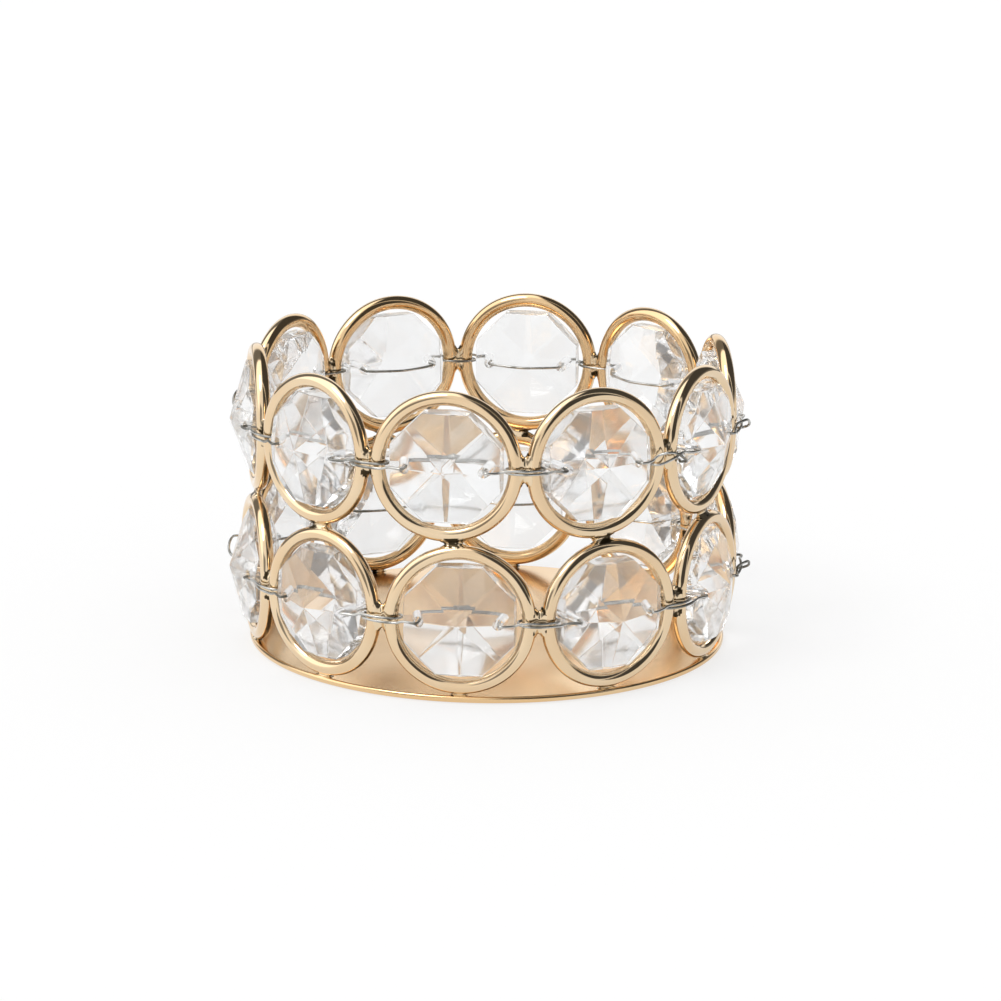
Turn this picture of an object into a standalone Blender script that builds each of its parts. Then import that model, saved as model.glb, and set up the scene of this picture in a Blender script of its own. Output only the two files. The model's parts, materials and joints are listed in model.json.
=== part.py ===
"""Tealight holder: two rows of soldered wire rings on a round plate, a crystal bead in each ring.

The rings of a row stand in a circle, side by side, and each holds an octagonal two-hole bead.
One thin binding wire per row threads every bead through both its holes and is lashed once
round each pair of neighbouring rings. Lengths are in metres, angles in degrees, +Z is up, and
the origin is the middle of the plate's underside. The front of the holder faces -Y.
"""

import math
from dataclasses import dataclass

import bmesh
import bpy
import numpy as np
from mathutils import Matrix, Vector

# Rings: all twenty are the same ring, bent from one round wire
RINGS_PER_ROW = 10
RING_WIRE = 0.00175
RING_STEPS = 24
RING_SIDES = 8

# Crystal beads
BEAD_WIDTH = 0.0131
BEAD_SIDES = 8
BEAD_THICKNESS = 0.0070
BEAD_CORNER_EDGE = 0.0020
BEAD_HOLE_SPACING = 0.0094
BEAD_HOLE = 0.0013
BEAD_HOLE_SIDES = 8
BEAD_CORNER_CLEARANCE = 0.0002

# How the rings stand to one another and to the plate
UPPER_SIDE_GAP = 0.0003
LOWER_SIDE_GAP = 0.0005
ROW_GAP = 0.00025
FOOT_GAP = 0.0002
UPPER_ROW_TURN = -81.7
LOWER_ROW_TURN = -78.1

# Solder: one lump at the side of each ring, one under each upper ring, one foot under each lower
SIDE_SOLDER_HEIGHT = 0.0036
SIDE_SOLDER_DEPTH = 0.0015
ROW_SOLDER_WIDTH = 0.0024
ROW_SOLDER_DEPTH = 0.0015
FOOT_SOLDER_WIDTH = 0.0022
FOOT_SOLDER_DEPTH = 0.0012
SOLDER_ROUNDING = 0.0002
SOLDER_STEPS = 8
SEAT_GAP = 0.0002

# Base plate
PLATE_RIM = 0.00065
PLATE_THICKNESS = 0.0008
PLATE_EDGE_ROUNDING = 0.0003
PLATE_STEPS = 40
PLATE_EDGE_STEPS = 2

# Binding wire
BINDING_WIRE = 0.00035
BINDING_CLEARANCE = 0.0002
BEAD_SURFACE_CLEARANCE = 0.00025
LASHING_PITCH = 0.0010
LASHING_SLACK = 0.0003
LOOSE_LASHING_SLACK = 0.0012
LASHING_BACK_SLACK = 0.0002
LASHING_TURN_POINTS = 4
LASHING_TURN_STEP = 37.0
TAIL_RISE = 0.0015
MOUTH_BEND = 0.0003
APEX_BEND = 0.0006
GAP_SAMPLE_STEP = 0.0001
FIRST_BOUND_RING = 6
UPPER_LOOSE_LASHINGS = (3, 4, 9)
LOWER_LOOSE_LASHINGS = (4, 9)

# How far each bead leans on its wire at rest, top outwards, ring by ring
UPPER_LEANS = (2.0, -3.0, 1.5, -2.0, 3.0, -5.0, 2.0, -1.0, 3.5, -2.5)
LOWER_LEANS = (-3.0, 2.5, -2.0, 3.0, -4.5, 4.0, -1.5, 2.0, -2.5, 1.0)

# Worked out from the sizes above
HALF_PITCH_ANGLE = math.pi / RINGS_PER_ROW
WIRE_RADIUS = RING_WIRE / 2
BINDING_RADIUS = BINDING_WIRE / 2
LASHING_REACH = WIRE_RADIUS + BINDING_CLEARANCE + BINDING_RADIUS
HALF_SIDE_ANGLE = math.pi / BEAD_SIDES
BEAD_CORNER_RADIUS = BEAD_WIDTH / 2 / math.cos(HALF_SIDE_ANGLE)
RING_RADIUS = BEAD_CORNER_RADIUS + BEAD_CORNER_CLEARANCE + WIRE_RADIUS
RING_REACH = RING_RADIUS + WIRE_RADIUS
BEAD_SLOPE = (BEAD_THICKNESS - BEAD_CORNER_EDGE) / 2 / BEAD_CORNER_RADIUS
LOWER_HEIGHT = PLATE_THICKNESS + FOOT_GAP + RING_REACH
UPPER_HEIGHT = LOWER_HEIGHT + 2 * RING_REACH + ROW_GAP


@dataclass(frozen=True)
class Row:
    """One row of rings: its name, the height of the ring centres and how the rings stand."""

    name: str
    height: float
    turn: float
    side_gap: float
    leans: tuple
    loose_lashings: tuple

    @property
    def tube_offset(self):
        """Distance of a ring's wire from the plane midway between two neighbouring rings."""
        return WIRE_RADIUS + self.side_gap / 2

    @property
    def half_pitch(self):
        """Distance along a ring's plane from its centre to that midway plane."""
        return RING_RADIUS + self.tube_offset / math.cos(HALF_PITCH_ANGLE)

    @property
    def radius(self):
        """Distance of the ring planes from the holder's axis."""
        return self.half_pitch / math.tan(HALF_PITCH_ANGLE)

    def azimuth(self, index):
        """Angle of a ring round the holder, 0 at the front and growing to the right."""
        return math.radians(self.turn) + 2 * HALF_PITCH_ANGLE * index

    def place(self, azimuth, radius):
        """Frame with X along the row, -Y outwards and Z up, at an angle and distance."""
        return Matrix.Rotation(azimuth, 4, "Z") @ Matrix.Translation((0, -radius, self.height))

    def ring_place(self, index):
        return self.place(self.azimuth(index), self.radius)

    def lashing_place(self, index):
        """Frame between the two wires that meet after ring index, on the line joining them."""
        azimuth = self.azimuth(index) + HALF_PITCH_ANGLE
        corner = self.radius / math.cos(HALF_PITCH_ANGLE)
        return self.place(azimuth, corner - self.tube_offset * math.tan(HALF_PITCH_ANGLE))


UPPER = Row("upper", UPPER_HEIGHT, UPPER_ROW_TURN, UPPER_SIDE_GAP, UPPER_LEANS, UPPER_LOOSE_LASHINGS)
LOWER = Row("lower", LOWER_HEIGHT, LOWER_ROW_TURN, LOWER_SIDE_GAP, LOWER_LEANS, LOWER_LOOSE_LASHINGS)


def clear_scene():
    for item in list(bpy.data.objects):
        bpy.data.objects.remove(item, do_unlink=True)


def make_material(name, colour, metallic, roughness, transmission=0.0):
    material = bpy.data.materials.new(name)
    material.use_nodes = True
    shader = material.node_tree.nodes["Principled BSDF"]
    shader.inputs["Base Color"].default_value = (*colour, 1.0)
    shader.inputs["Metallic"].default_value = metallic
    shader.inputs["Roughness"].default_value = roughness
    shader.inputs["Transmission Weight"].default_value = transmission
    material.diffuse_color = (*colour, 1.0)
    return material


def add_object(name, data, material=None, parent=None):
    item = bpy.data.objects.new(name, data)
    bpy.context.scene.collection.objects.link(item)
    if material is not None:
        data.materials.append(material)
    item.parent = parent
    return item


def mesh_object(name, shape, material=None, parent=None, smooth=False):
    mesh = bpy.data.meshes.new(name)
    shape.to_mesh(mesh)
    shape.free()
    if smooth:
        mesh.shade_smooth()
    return add_object(name, mesh, material, parent)


def add_place(name, matrix):
    place = add_object(name, None)
    place.empty_display_size = RING_WIRE
    place.matrix_world = matrix
    return place


def hide_helper(item):
    item.hide_render = True
    item.display_type = "WIRE"


def add_boolean(item, other, operation):
    modifier = item.modifiers.new(other.name, "BOOLEAN")
    modifier.operation = operation
    modifier.solver = "EXACT"
    modifier.object = other


def ring_shape(wire_radius):
    """A closed round wire ring in the local XZ plane."""
    shape = bmesh.new()
    loops = []
    for step in range(RING_STEPS):
        around = 2 * math.pi * step / RING_STEPS
        loop = []
        for side in range(RING_SIDES):
            across = 2 * math.pi * side / RING_SIDES
            reach = RING_RADIUS + wire_radius * math.cos(across)
            point = (reach * math.cos(around), wire_radius * math.sin(across), reach * math.sin(around))
            loop.append(shape.verts.new(point))
        loops.append(loop)
    for step, loop in enumerate(loops):
        following = loops[(step + 1) % RING_STEPS]
        for side in range(RING_SIDES):
            other = (side + 1) % RING_SIDES
            shape.faces.new((loop[side], loop[other], following[other], following[side]))
    bmesh.ops.recalc_face_normals(shape, faces=shape.faces)
    return shape


def add_lump(shape, matrix, size):
    """A block of solder with its upright edges rounded off, added to shape."""
    lump = bmesh.ops.create_cube(shape, size=1.0, matrix=matrix @ Matrix.Diagonal((*size, 1.0)))
    edges = {edge for vert in lump["verts"] for edge in vert.link_edges}
    upright = [edge for edge in edges if abs(edge.verts[0].co.z - edge.verts[1].co.z) > size[2] / 2]
    bmesh.ops.bevel(shape, geom=upright, offset=SOLDER_ROUNDING, segments=1, affect="EDGES")


def add_bead_of_solder(shape, matrix, size):
    """A lens of solder that fills the hollow between two round wires, added to shape."""
    half = Matrix.Diagonal((size[0] / 2, size[1] / 2, size[2] / 2, 1.0))
    bmesh.ops.create_uvsphere(
        shape, u_segments=SOLDER_STEPS, v_segments=SOLDER_STEPS // 2, radius=1.0, matrix=matrix @ half,
    )


def side_solder_matrix(row, index):
    return row.ring_place(index).inverted() @ row.lashing_place(index)


def solder_shape(row, index):
    """The lumps that ring index carries, in that ring's frame."""
    shape = bmesh.new()
    side_width = 2 * row.tube_offset
    side_size = (side_width, SIDE_SOLDER_DEPTH, SIDE_SOLDER_HEIGHT)
    add_bead_of_solder(shape, side_solder_matrix(row, index), side_size)
    if row is UPPER:
        middle_turn = (UPPER.azimuth(index) + LOWER.azimuth(index)) / 2 - UPPER.azimuth(index)
        middle_radius = (UPPER.radius + LOWER.radius) / 2
        height = RING_WIRE + ROW_GAP
        drop = -RING_RADIUS - height / 2
        outward = middle_radius - UPPER.radius
        place = Matrix.Rotation(middle_turn, 4, "Z")
        along = math.tan(middle_turn) * middle_radius
        place = Matrix.Translation((along, -outward, drop)) @ place
        add_lump(shape, place, (ROW_SOLDER_WIDTH, ROW_SOLDER_DEPTH, height))
    else:
        foot_height = WIRE_RADIUS + FOOT_GAP - SEAT_GAP
        place = Matrix.Translation((0, 0, -RING_RADIUS - foot_height / 2))
        add_lump(shape, place, (FOOT_SOLDER_WIDTH, FOOT_SOLDER_DEPTH, foot_height))
    return shape


def add_rings(row, places, gold):
    """The rings of a row, each with its solder, cut clear of the rings that it meets."""
    rings = []
    for index, place in enumerate(places):
        name = f"{row.name}_ring_{index + 1:02d}"
        ring = mesh_object(name, ring_shape(WIRE_RADIUS), gold, place, smooth=True)
        solder = mesh_object(f"{name}_solder", solder_shape(row, index), parent=place)
        clearance = mesh_object(f"{name}_clearance", ring_shape(WIRE_RADIUS + SEAT_GAP), parent=place)
        hide_helper(solder)
        hide_helper(clearance)
        add_boolean(ring, solder, "UNION")
        rings.append((ring, clearance))
    for index, (ring, _) in enumerate(rings):
        neighbour = rings[(index + 1) % RINGS_PER_ROW][1]
        add_boolean(ring, neighbour, "DIFFERENCE")
    return rings


def bead_height(x):
    """Height of the bead's face over its middle plane, on the ridge that runs to its side."""
    return BEAD_THICKNESS / 2 - BEAD_SLOPE * abs(x) * math.cos(HALF_SIDE_ANGLE)


def bead_shape():
    """An octagonal bead: a pyramid of eight kite facets on each face, with flat sides between."""
    shape = bmesh.new()
    apexes = []
    middles = []
    corners = []
    for face in (-1, 1):
        apexes.append(shape.verts.new((0, face * BEAD_THICKNESS / 2, 0)))
        middle_loop = []
        corner_loop = []
        for side in range(BEAD_SIDES):
            angle = 2 * HALF_SIDE_ANGLE * side
            reach = BEAD_WIDTH / 2
            depth = face * bead_height(reach)
            middle = (reach * math.cos(angle), depth, reach * math.sin(angle))
            middle_loop.append(shape.verts.new(middle))
            angle += HALF_SIDE_ANGLE
            reach = BEAD_CORNER_RADIUS
            depth = face * BEAD_CORNER_EDGE / 2
            corner_loop.append(shape.verts.new((reach * math.cos(angle), depth, reach * math.sin(angle))))
        middles.append(middle_loop)
        corners.append(corner_loop)
    for side in range(BEAD_SIDES):
        after = (side + 1) % BEAD_SIDES
        for face in (0, 1):
            shape.faces.new((apexes[face], middles[face][side], corners[face][side], middles[face][after]))
        flat = [corners[0][side - 1], middles[0][side], corners[0][side]]
        flat += [corners[1][side], middles[1][side], corners[1][side - 1]]
        shape.faces.new(flat)
    bmesh.ops.recalc_face_normals(shape, faces=shape.faces)
    return shape


def bead_hole_shape():
    """Two drills through the bead's thickness, near its left and right sides."""
    shape = bmesh.new()
    radius = BEAD_HOLE / 2 / math.cos(math.pi / BEAD_HOLE_SIDES)
    for side in (-1, 1):
        drill = Matrix.Translation((side * BEAD_HOLE_SPACING / 2, 0, 0)) @ Matrix.Rotation(math.pi / 2, 4, "X")
        bmesh.ops.create_cone(
            shape, cap_ends=True, segments=BEAD_HOLE_SIDES, radius1=radius, radius2=radius,
            depth=2 * BEAD_THICKNESS, matrix=drill,
        )
    return shape


def add_beads(row, places, glass):
    """The row's beads, each with its origin on the line through its holes that it rocks about."""
    for index, place in enumerate(places):
        name = f"{row.name}_crystal_{index + 1:02d}"
        bead = mesh_object(name, bead_shape(), glass, place)
        bead.rotation_euler.x = math.radians(row.leans[index])
        holes = mesh_object(f"{name}_holes", bead_hole_shape(), parent=bead)
        hide_helper(holes)
        add_boolean(bead, holes, "DIFFERENCE")


def lashing_points(row, index):
    """One turn of the binding wire round the two ring wires that meet after ring index."""
    slack = LOOSE_LASHING_SLACK if index in row.loose_lashings else LASHING_SLACK
    rise = LASHING_PITCH / 2
    half_turn = [
        Vector((-row.tube_offset - LASHING_REACH, -LASHING_REACH, rise)),
        Vector((0, -LASHING_REACH - slack, rise)),
    ]
    turn_reach = LASHING_REACH / math.cos(math.radians(LASHING_TURN_STEP / 2))
    for step in range(LASHING_TURN_POINTS):
        angle = math.radians(LASHING_TURN_STEP * ((LASHING_TURN_POINTS - 1) / 2 - step))
        along = row.tube_offset + turn_reach * math.cos(angle)
        fall = rise * (1 - (step + 1) / (LASHING_TURN_POINTS + 1))
        half_turn.append(Vector((along, -turn_reach * math.sin(angle), fall)))
    rest = [Vector((-point.x, point.y, -point.z)) for point in reversed(half_turn)]
    back = Vector((0, LASHING_REACH + LASHING_BACK_SLACK, 0))
    frame = row.lashing_place(index)
    return [frame @ point for point in half_turn + [back] + rest]


def threading_points(row, index):
    """The binding wire's way through one bead: in at its left hole, across its back, out at its right."""
    hole = BEAD_HOLE_SPACING / 2
    over = BEAD_SURFACE_CLEARANCE + BINDING_RADIUS
    shoulder = BEAD_WIDTH / 2
    mouth = bead_height(hole)
    half_way = [
        Vector((-shoulder, -bead_height(shoulder) - over, 0)),
        Vector((-hole - MOUTH_BEND, -mouth - over, 0)),
        Vector((-hole, -mouth + MOUTH_BEND, 0)),
        Vector((-hole, mouth, 0)),
        Vector((-hole + MOUTH_BEND, bead_height(hole - MOUTH_BEND) + over, 0)),
        Vector((-APEX_BEND, bead_height(APEX_BEND) + over, 0)),
    ]
    rest = [Vector((-point.x, point.y, point.z)) for point in reversed(half_way)]
    frame = row.ring_place(index)
    return [frame @ point for point in half_way + rest]


def tail_points(row, index):
    """The binding wire's first end, held in front of the two ring wires that meet after ring index."""
    tail = [
        Vector((0, -LASHING_REACH - LASHING_SLACK, TAIL_RISE)),
        Vector((row.tube_offset + LASHING_REACH, -LASHING_REACH, TAIL_RISE)),
    ]
    frame = row.lashing_place(index)
    return [frame @ point for point in tail]


def binding_route(row):
    """The whole wire of a row: through each bead in turn and once round each pair of rings.

    It starts and ends at the same pair, with its last end in front of that pair's lashing.
    """
    points = tail_points(row, FIRST_BOUND_RING - 1)
    for count in range(RINGS_PER_ROW):
        index = (FIRST_BOUND_RING + count) % RINGS_PER_ROW
        points += threading_points(row, index)
        points += lashing_points(row, index)
    return points[:-1]


def least_gap(points):
    """Least distance between the wire's surface and itself, away from its own neighbourhood."""
    samples = []
    travelled = []
    length = 0.0
    for start, end in zip(points, points[1:]):
        steps = max(1, math.ceil((end - start).length / GAP_SAMPLE_STEP))
        for step in range(steps):
            samples.append(start.lerp(end, step / steps))
            travelled.append(length + (end - start).length * step / steps)
        length += (end - start).length
    samples = np.array(samples)
    travelled = np.array(travelled)
    least = math.inf
    for sample, distance in zip(samples, travelled):
        others = samples[travelled > distance + 2 * LASHING_PITCH]
        if len(others):
            least = min(least, np.linalg.norm(others - sample, axis=1).min())
    return least - BINDING_WIRE, length


def add_binding_wire(row, silver):
    curve = bpy.data.curves.new(f"{row.name}_binding_wire", "CURVE")
    curve.dimensions = "3D"
    curve.bevel_depth = BINDING_RADIUS
    curve.bevel_resolution = 1
    curve.use_fill_caps = True
    route = binding_route(row)
    spline = curve.splines.new("POLY")
    spline.points.add(len(route) - 1)
    for point, position in zip(spline.points, route):
        point.co = (*position, 1.0)
    add_object(curve.name, curve, silver)
    gap, length = least_gap(route)
    print(f"{curve.name}: length {length * 1000:.1f} mm, least gap to itself {gap * 1000:.2f} mm")


def add_base_plate(gold):
    """A flat round plate with a rounded edge, which the lower rings stand on."""
    shape = bmesh.new()
    radius = LOWER.radius + PLATE_RIM
    middle = Matrix.Translation((0, 0, PLATE_THICKNESS / 2))
    bmesh.ops.create_cone(
        shape, cap_ends=True, segments=PLATE_STEPS, radius1=radius, radius2=radius,
        depth=PLATE_THICKNESS, matrix=middle,
    )
    rim = [edge for edge in shape.edges if abs(edge.verts[0].co.z - edge.verts[1].co.z) < SEAT_GAP]
    bmesh.ops.bevel(
        shape, geom=rim, offset=PLATE_EDGE_ROUNDING, segments=PLATE_EDGE_STEPS, profile=0.5, affect="EDGES",
    )
    plate = mesh_object("base_plate", shape, gold, smooth=True)
    plate.data.set_sharp_from_angle(angle=math.radians(30))


def main():
    clear_scene()
    ring_gold = make_material("ring_gold", (0.80, 0.62, 0.40), 1.0, 0.12)
    plate_gold = make_material("plate_gold", (0.80, 0.63, 0.44), 1.0, 0.15)
    clear_crystal = make_material("clear_crystal", (0.95, 0.96, 0.97), 0.0, 0.0, transmission=1.0)
    silver_wire = make_material("silver_wire", (0.62, 0.61, 0.58), 1.0, 0.2)
    rings = {}
    for row in (LOWER, UPPER):
        places = []
        for index in range(RINGS_PER_ROW):
            places.append(add_place(f"{row.name}_place_{index + 1:02d}", row.ring_place(index)))
        rings[row.name] = add_rings(row, places, ring_gold)
        add_beads(row, places, clear_crystal)
        add_binding_wire(row, silver_wire)
    for (ring, _), (_, below) in zip(rings["upper"], rings["lower"]):
        add_boolean(ring, below, "DIFFERENCE")
    add_base_plate(plate_gold)


main()
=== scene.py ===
"""Finishes, fine forms and studio of a tealight holder: soldered gilt rings with a wired crystal in each.

Every ring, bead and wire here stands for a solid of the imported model. A ring takes its seat from the
hinge that its bead rocks on, so the model's own sizes place everything. Lengths are in metres, angles
given as numbers in degrees and a bead's lean in radians. +Z is up and the front of the holder faces -Y.
"""

import json
import logging
import math
from dataclasses import dataclass, field
from enum import Enum
from typing import Any, Callable, Sequence

import bmesh
import bpy
import numpy as np
from mathutils import Matrix, Vector, noise

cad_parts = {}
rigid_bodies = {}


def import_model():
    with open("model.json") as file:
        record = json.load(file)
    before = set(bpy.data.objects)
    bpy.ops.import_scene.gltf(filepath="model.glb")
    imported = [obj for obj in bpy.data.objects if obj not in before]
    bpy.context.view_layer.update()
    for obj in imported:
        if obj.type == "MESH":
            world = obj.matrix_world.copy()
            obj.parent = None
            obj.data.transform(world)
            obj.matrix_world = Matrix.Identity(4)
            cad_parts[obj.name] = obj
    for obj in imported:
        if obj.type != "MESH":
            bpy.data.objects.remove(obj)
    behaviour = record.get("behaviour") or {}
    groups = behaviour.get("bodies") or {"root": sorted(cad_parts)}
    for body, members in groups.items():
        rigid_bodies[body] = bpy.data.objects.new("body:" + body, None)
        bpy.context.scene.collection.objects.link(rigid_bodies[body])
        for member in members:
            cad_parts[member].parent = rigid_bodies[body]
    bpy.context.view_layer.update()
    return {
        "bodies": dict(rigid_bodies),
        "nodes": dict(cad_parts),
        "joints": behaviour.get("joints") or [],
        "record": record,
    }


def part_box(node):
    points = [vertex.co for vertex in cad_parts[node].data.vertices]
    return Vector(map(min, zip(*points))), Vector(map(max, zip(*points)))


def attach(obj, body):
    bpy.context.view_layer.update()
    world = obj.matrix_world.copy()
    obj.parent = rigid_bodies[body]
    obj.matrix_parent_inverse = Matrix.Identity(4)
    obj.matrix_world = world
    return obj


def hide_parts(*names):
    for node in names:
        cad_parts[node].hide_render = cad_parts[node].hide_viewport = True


LOG = logging.getLogger("tealight_holder")
MM = 0.001
LOOSE_LASHINGS = {"upper": (3, 4, 9), "lower": (4, 9)}  # the seats after which each row's wire is loose
PIECE_SPREAD = 40.0  # how far apart two pieces read the same noise
SHORTEST_STRETCH = 1e-9  # keeps two points in one place from dividing by nothing
CENTRIPETAL = 0.5  # the power of a stretch's length by which a spline runs along it
SPLINE_SPANS = (((0, 1), (1, 2), (2, 3)), ((0, 2), (1, 3)), ((1, 2),))  # the knots of each round of blends
Field = Callable[[np.ndarray], np.ndarray]
Colour = tuple[float, float, float, float]
Span = tuple[float, float]


class Body(Enum):
    """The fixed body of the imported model. Each bead is a body of its own, named as its node."""

    HOLDER = "holder"


class Slot(Enum):
    """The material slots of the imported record."""

    RING_GOLD = "ring_gold"
    PLATE_GOLD = "plate_gold"
    CRYSTAL = "clear_crystal"
    WIRE = "silver_wire"


class SolderJoint(Enum):
    """The kinds of solder joint, each with the place in the noise where its sizes are read."""

    SIDE = 3.1
    ROW = 7.7
    FOOT = 5.3


class Ray(Enum):
    """What a surface or the studio can ask of the ray that meets it."""

    CAMERA = "Is Camera Ray"
    GLOSSY = "Is Glossy Ray"
    TRANSMISSION = "Is Transmission Ray"
    REFLECTIONS = "Glossy Depth"


class Signal:
    """One output of a shader node, which Python expressions can work on."""

    def __init__(self, graph: "Graph", socket: bpy.types.NodeSocket | None) -> None:
        """Wraps an output of the graph's tree, or nothing for the node that ends it."""
        self.graph = graph
        self.socket = socket

    def _math(self, operation: str, first: Any, second: Any) -> "Signal":
        """Adds a Math node for an expression of two values."""
        return self.graph.node("ShaderNodeMath", {"operation": operation}, {0: first, 1: second})

    def __add__(self, other: Any) -> "Signal":
        """self + other."""
        return self._math("ADD", self, other)

    __radd__ = __add__

    def __sub__(self, other: Any) -> "Signal":
        """self - other."""
        return self._math("SUBTRACT", self, other)

    def __rsub__(self, other: Any) -> "Signal":
        """other - self."""
        return self._math("SUBTRACT", other, self)

    def __mul__(self, other: Any) -> "Signal":
        """self * other."""
        return self._math("MULTIPLY", self, other)

    __rmul__ = __mul__

    def __abs__(self) -> "Signal":
        """abs(self)."""
        return self._math("ABSOLUTE", self, 0.0)

    def or_more(self, other: Any) -> "Signal":
        """The larger of self and other."""
        return self._math("MAXIMUM", self, other)


class Graph:
    """The node tree of one material or of the world."""

    def __init__(self, tree: bpy.types.NodeTree) -> None:
        """Clears the node tree of a material or of the world and starts on it."""
        self.tree = tree
        tree.nodes.clear()

    def node(self, kind: str, settings: dict[str, Any], sockets: dict[Any, Any], output: Any = 0) -> Signal:
        """Adds any node.

        Args:
            kind: The node's type.
            settings: Its own properties, set before its sockets.
            sockets: A number, colour or Signal for each named or numbered input.
            output: The output to go on with.

        Returns:
            That output.
        """
        made = self.tree.nodes.new(kind)
        for name, value in settings.items():
            setattr(made, name, value)
        for name, value in sockets.items():
            if isinstance(value, Signal):
                self.tree.links.new(value.socket, made.inputs[name])
            else:
                made.inputs[name].default_value = value
        return Signal(self, made.outputs[output]) if made.outputs else Signal(self, None)

    def coordinates(self, output: str = "Object") -> Signal:
        """The coordinates of a surface, or with Generated the direction that the world is seen in."""
        return self.node("ShaderNodeTexCoord", {}, {}, output)

    def noise(self, place: Signal, scale: float, detail: float) -> Signal:
        """Smooth noise from 0 to 1, which differs from piece to piece.

        Args:
            place: The coordinates to read it at.
            scale: How many features a metre holds.
            detail: How many finer layers it has.

        Returns:
            The noise's value.
        """
        piece = self.node("ShaderNodeObjectInfo", {}, {}, "Random") * PIECE_SPREAD
        sockets = {"Vector": place, "W": piece, "Scale": scale, "Detail": detail}
        return self.node("ShaderNodeTexNoise", {"noise_dimensions": "4D"}, sockets, "Fac")

    def part(self, vector: Signal, axis: str) -> Signal:
        """The X, Y or Z part of a vector."""
        return self.node("ShaderNodeSeparateXYZ", {}, {"Vector": vector}, axis)

    def step(self, value: Signal, low: float, high: float) -> Signal:
        """A smooth step from 0, at or below low, to 1, at or above high."""
        settings = {"interpolation_type": "SMOOTHSTEP"}
        return self.node("ShaderNodeMapRange", settings, {"Value": value, "From Min": low, "From Max": high})

    def mix(self, factor: Any, first: Any, second: Any) -> Signal:
        """A colour between first, at factor 0, and second, at factor 1."""
        # The node's two colours are its inputs 6 and 7 and its output 2, after those for numbers and vectors.
        return self.node("ShaderNodeMix", {"data_type": "RGBA"}, {0: factor, 6: first, 7: second}, 2)

    def bump(self, height: Signal, distance: float) -> Signal:
        """A normal raised by height, where 1 stands for distance."""
        return self.node("ShaderNodeBump", {}, {"Height": height, "Strength": 1.0, "Distance": distance})

    def metal(self, colour: Any, roughness: Any, normal: Signal) -> Signal:
        """The shader of bare or plated metal."""
        sockets = {"Base Color": colour, "Metallic": 1.0, "Roughness": roughness, "Normal": normal}
        return self.node("ShaderNodeBsdfPrincipled", {}, sockets)

    def ray(self, kind: Ray) -> Signal:
        """1 where that kind of ray meets the surface or the world, or how often the ray was reflected."""
        return self.node("ShaderNodeLightPath", {}, {}, kind.value)

    def finish(self, kind: str, shader: Signal) -> None:
        """Ends the tree in the output node of a material or of the world."""
        self.node(kind, {}, {"Surface": shader})


def between(first: Any, second: Any, share: Any) -> Signal:
    """The value of first where share is 0, of second where it is 1, and a mixture in between."""
    return first * (1 - share) + second * share


def new_material(name: str, build: Callable[[Graph], Signal]) -> bpy.types.Material:
    """Makes a material.

    Args:
        name: Its name.
        build: Adds its nodes and gives its shader.

    Returns:
        The material.
    """
    material = bpy.data.materials.new(name)
    material.use_nodes = True
    graph = Graph(material.node_tree)
    graph.finish("ShaderNodeOutputMaterial", build(graph))
    return material


@dataclass(frozen=True)
class Finish:
    """What one kind of piece is made of, as one material."""

    name: str

    def make(self) -> bpy.types.Material:
        """Makes the material."""
        return new_material(self.name, self._build)

    def _build(self, graph: Graph) -> Signal:
        """Adds the finish's nodes and gives its shader."""
        raise NotImplementedError


@dataclass(frozen=True)
class GiltFinish(Finish):
    """Polished plating over wire or sheet: bright, with faint waves, dull patches and a painted warm
    reflection, a warmer colour on faces that point along the piece's +Y, inwards on a ring.
    """

    light: Colour
    deep: Colour
    # inside: the colour of the painted warm reflection, gold seen in gold, on faces that point along +Y
    inside: Colour
    roughness: float
    roughness_spread: float
    wave: float
    wave_scale: float
    wave_detail: float = 2.0
    patch_scale: float = 160.0
    patch_detail: float = 1.0
    patch_edge: Span = (0.25, 0.75)
    painted_reflection_edge: Span = (-0.2, 0.8)

    def _build(self, graph: Graph) -> Signal:
        """Adds the plating's nodes.

        Args:
            graph: The material's node tree.

        Returns:
            The plating's shader.
        """
        place = graph.coordinates()
        inward = graph.part(graph.coordinates("Normal"), "Y")
        patches = graph.step(graph.noise(place, self.patch_scale, self.patch_detail), *self.patch_edge)
        waves = graph.noise(place, self.wave_scale, self.wave_detail)
        colour = graph.mix(patches, self.light, self.deep)
        # Painted reflection: faces that point along +Y, inwards on a ring, take the warmer inside colour in
        # place of the light that the gilt around them throws back.
        colour = graph.mix(graph.step(inward, *self.painted_reflection_edge), colour, self.inside)
        roughness = self.roughness + self.roughness_spread * patches
        return graph.metal(colour, roughness, graph.bump(waves, self.wave))


@dataclass(frozen=True)
class SolderFinish(Finish):
    """Plated solder with dark specks, whose share rises or falls towards the ends of its groove."""

    fleck_share: float
    plating: Colour = (0.82, 0.65, 0.44, 1.0)
    dark_speck: Colour = (0.05, 0.036, 0.018, 1.0)
    roughness: float = 0.1
    dark_speck_roughness: float = 0.35
    fleck_scale: float = 700.0
    fleck_detail: float = 3.0
    fleck_fade: float = 0.06
    end_share: float = 0.1
    end_reach: Span = (0.4 * MM, 1.1 * MM)
    ripple: float = 0.00002
    ripple_scale: float = 1000.0
    ripple_detail: float = 2.0

    def _build(self, graph: Graph) -> Signal:
        """Adds the solder's nodes, where end_share sets how many more dark specks the ends hold than the
        middle.

        Args:
            graph: The material's node tree.

        Returns:
            The solder's shader.
        """
        place = graph.coordinates()
        ends = graph.step(abs(graph.part(place, "Z")), *self.end_reach)
        flecks = graph.noise(place, self.fleck_scale, self.fleck_detail) + self.end_share * ends
        # dark specks at random, with end_share more of them towards the ends of the groove
        dark_speck = graph.step(flecks, self.fleck_share, self.fleck_share + self.fleck_fade)
        ripples = graph.noise(place, self.ripple_scale, self.ripple_detail)
        colour = graph.mix(dark_speck, self.plating, self.dark_speck)
        roughness = self.roughness + (self.dark_speck_roughness - self.roughness) * dark_speck
        return graph.metal(colour, roughness, graph.bump(ripples, self.ripple))


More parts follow.
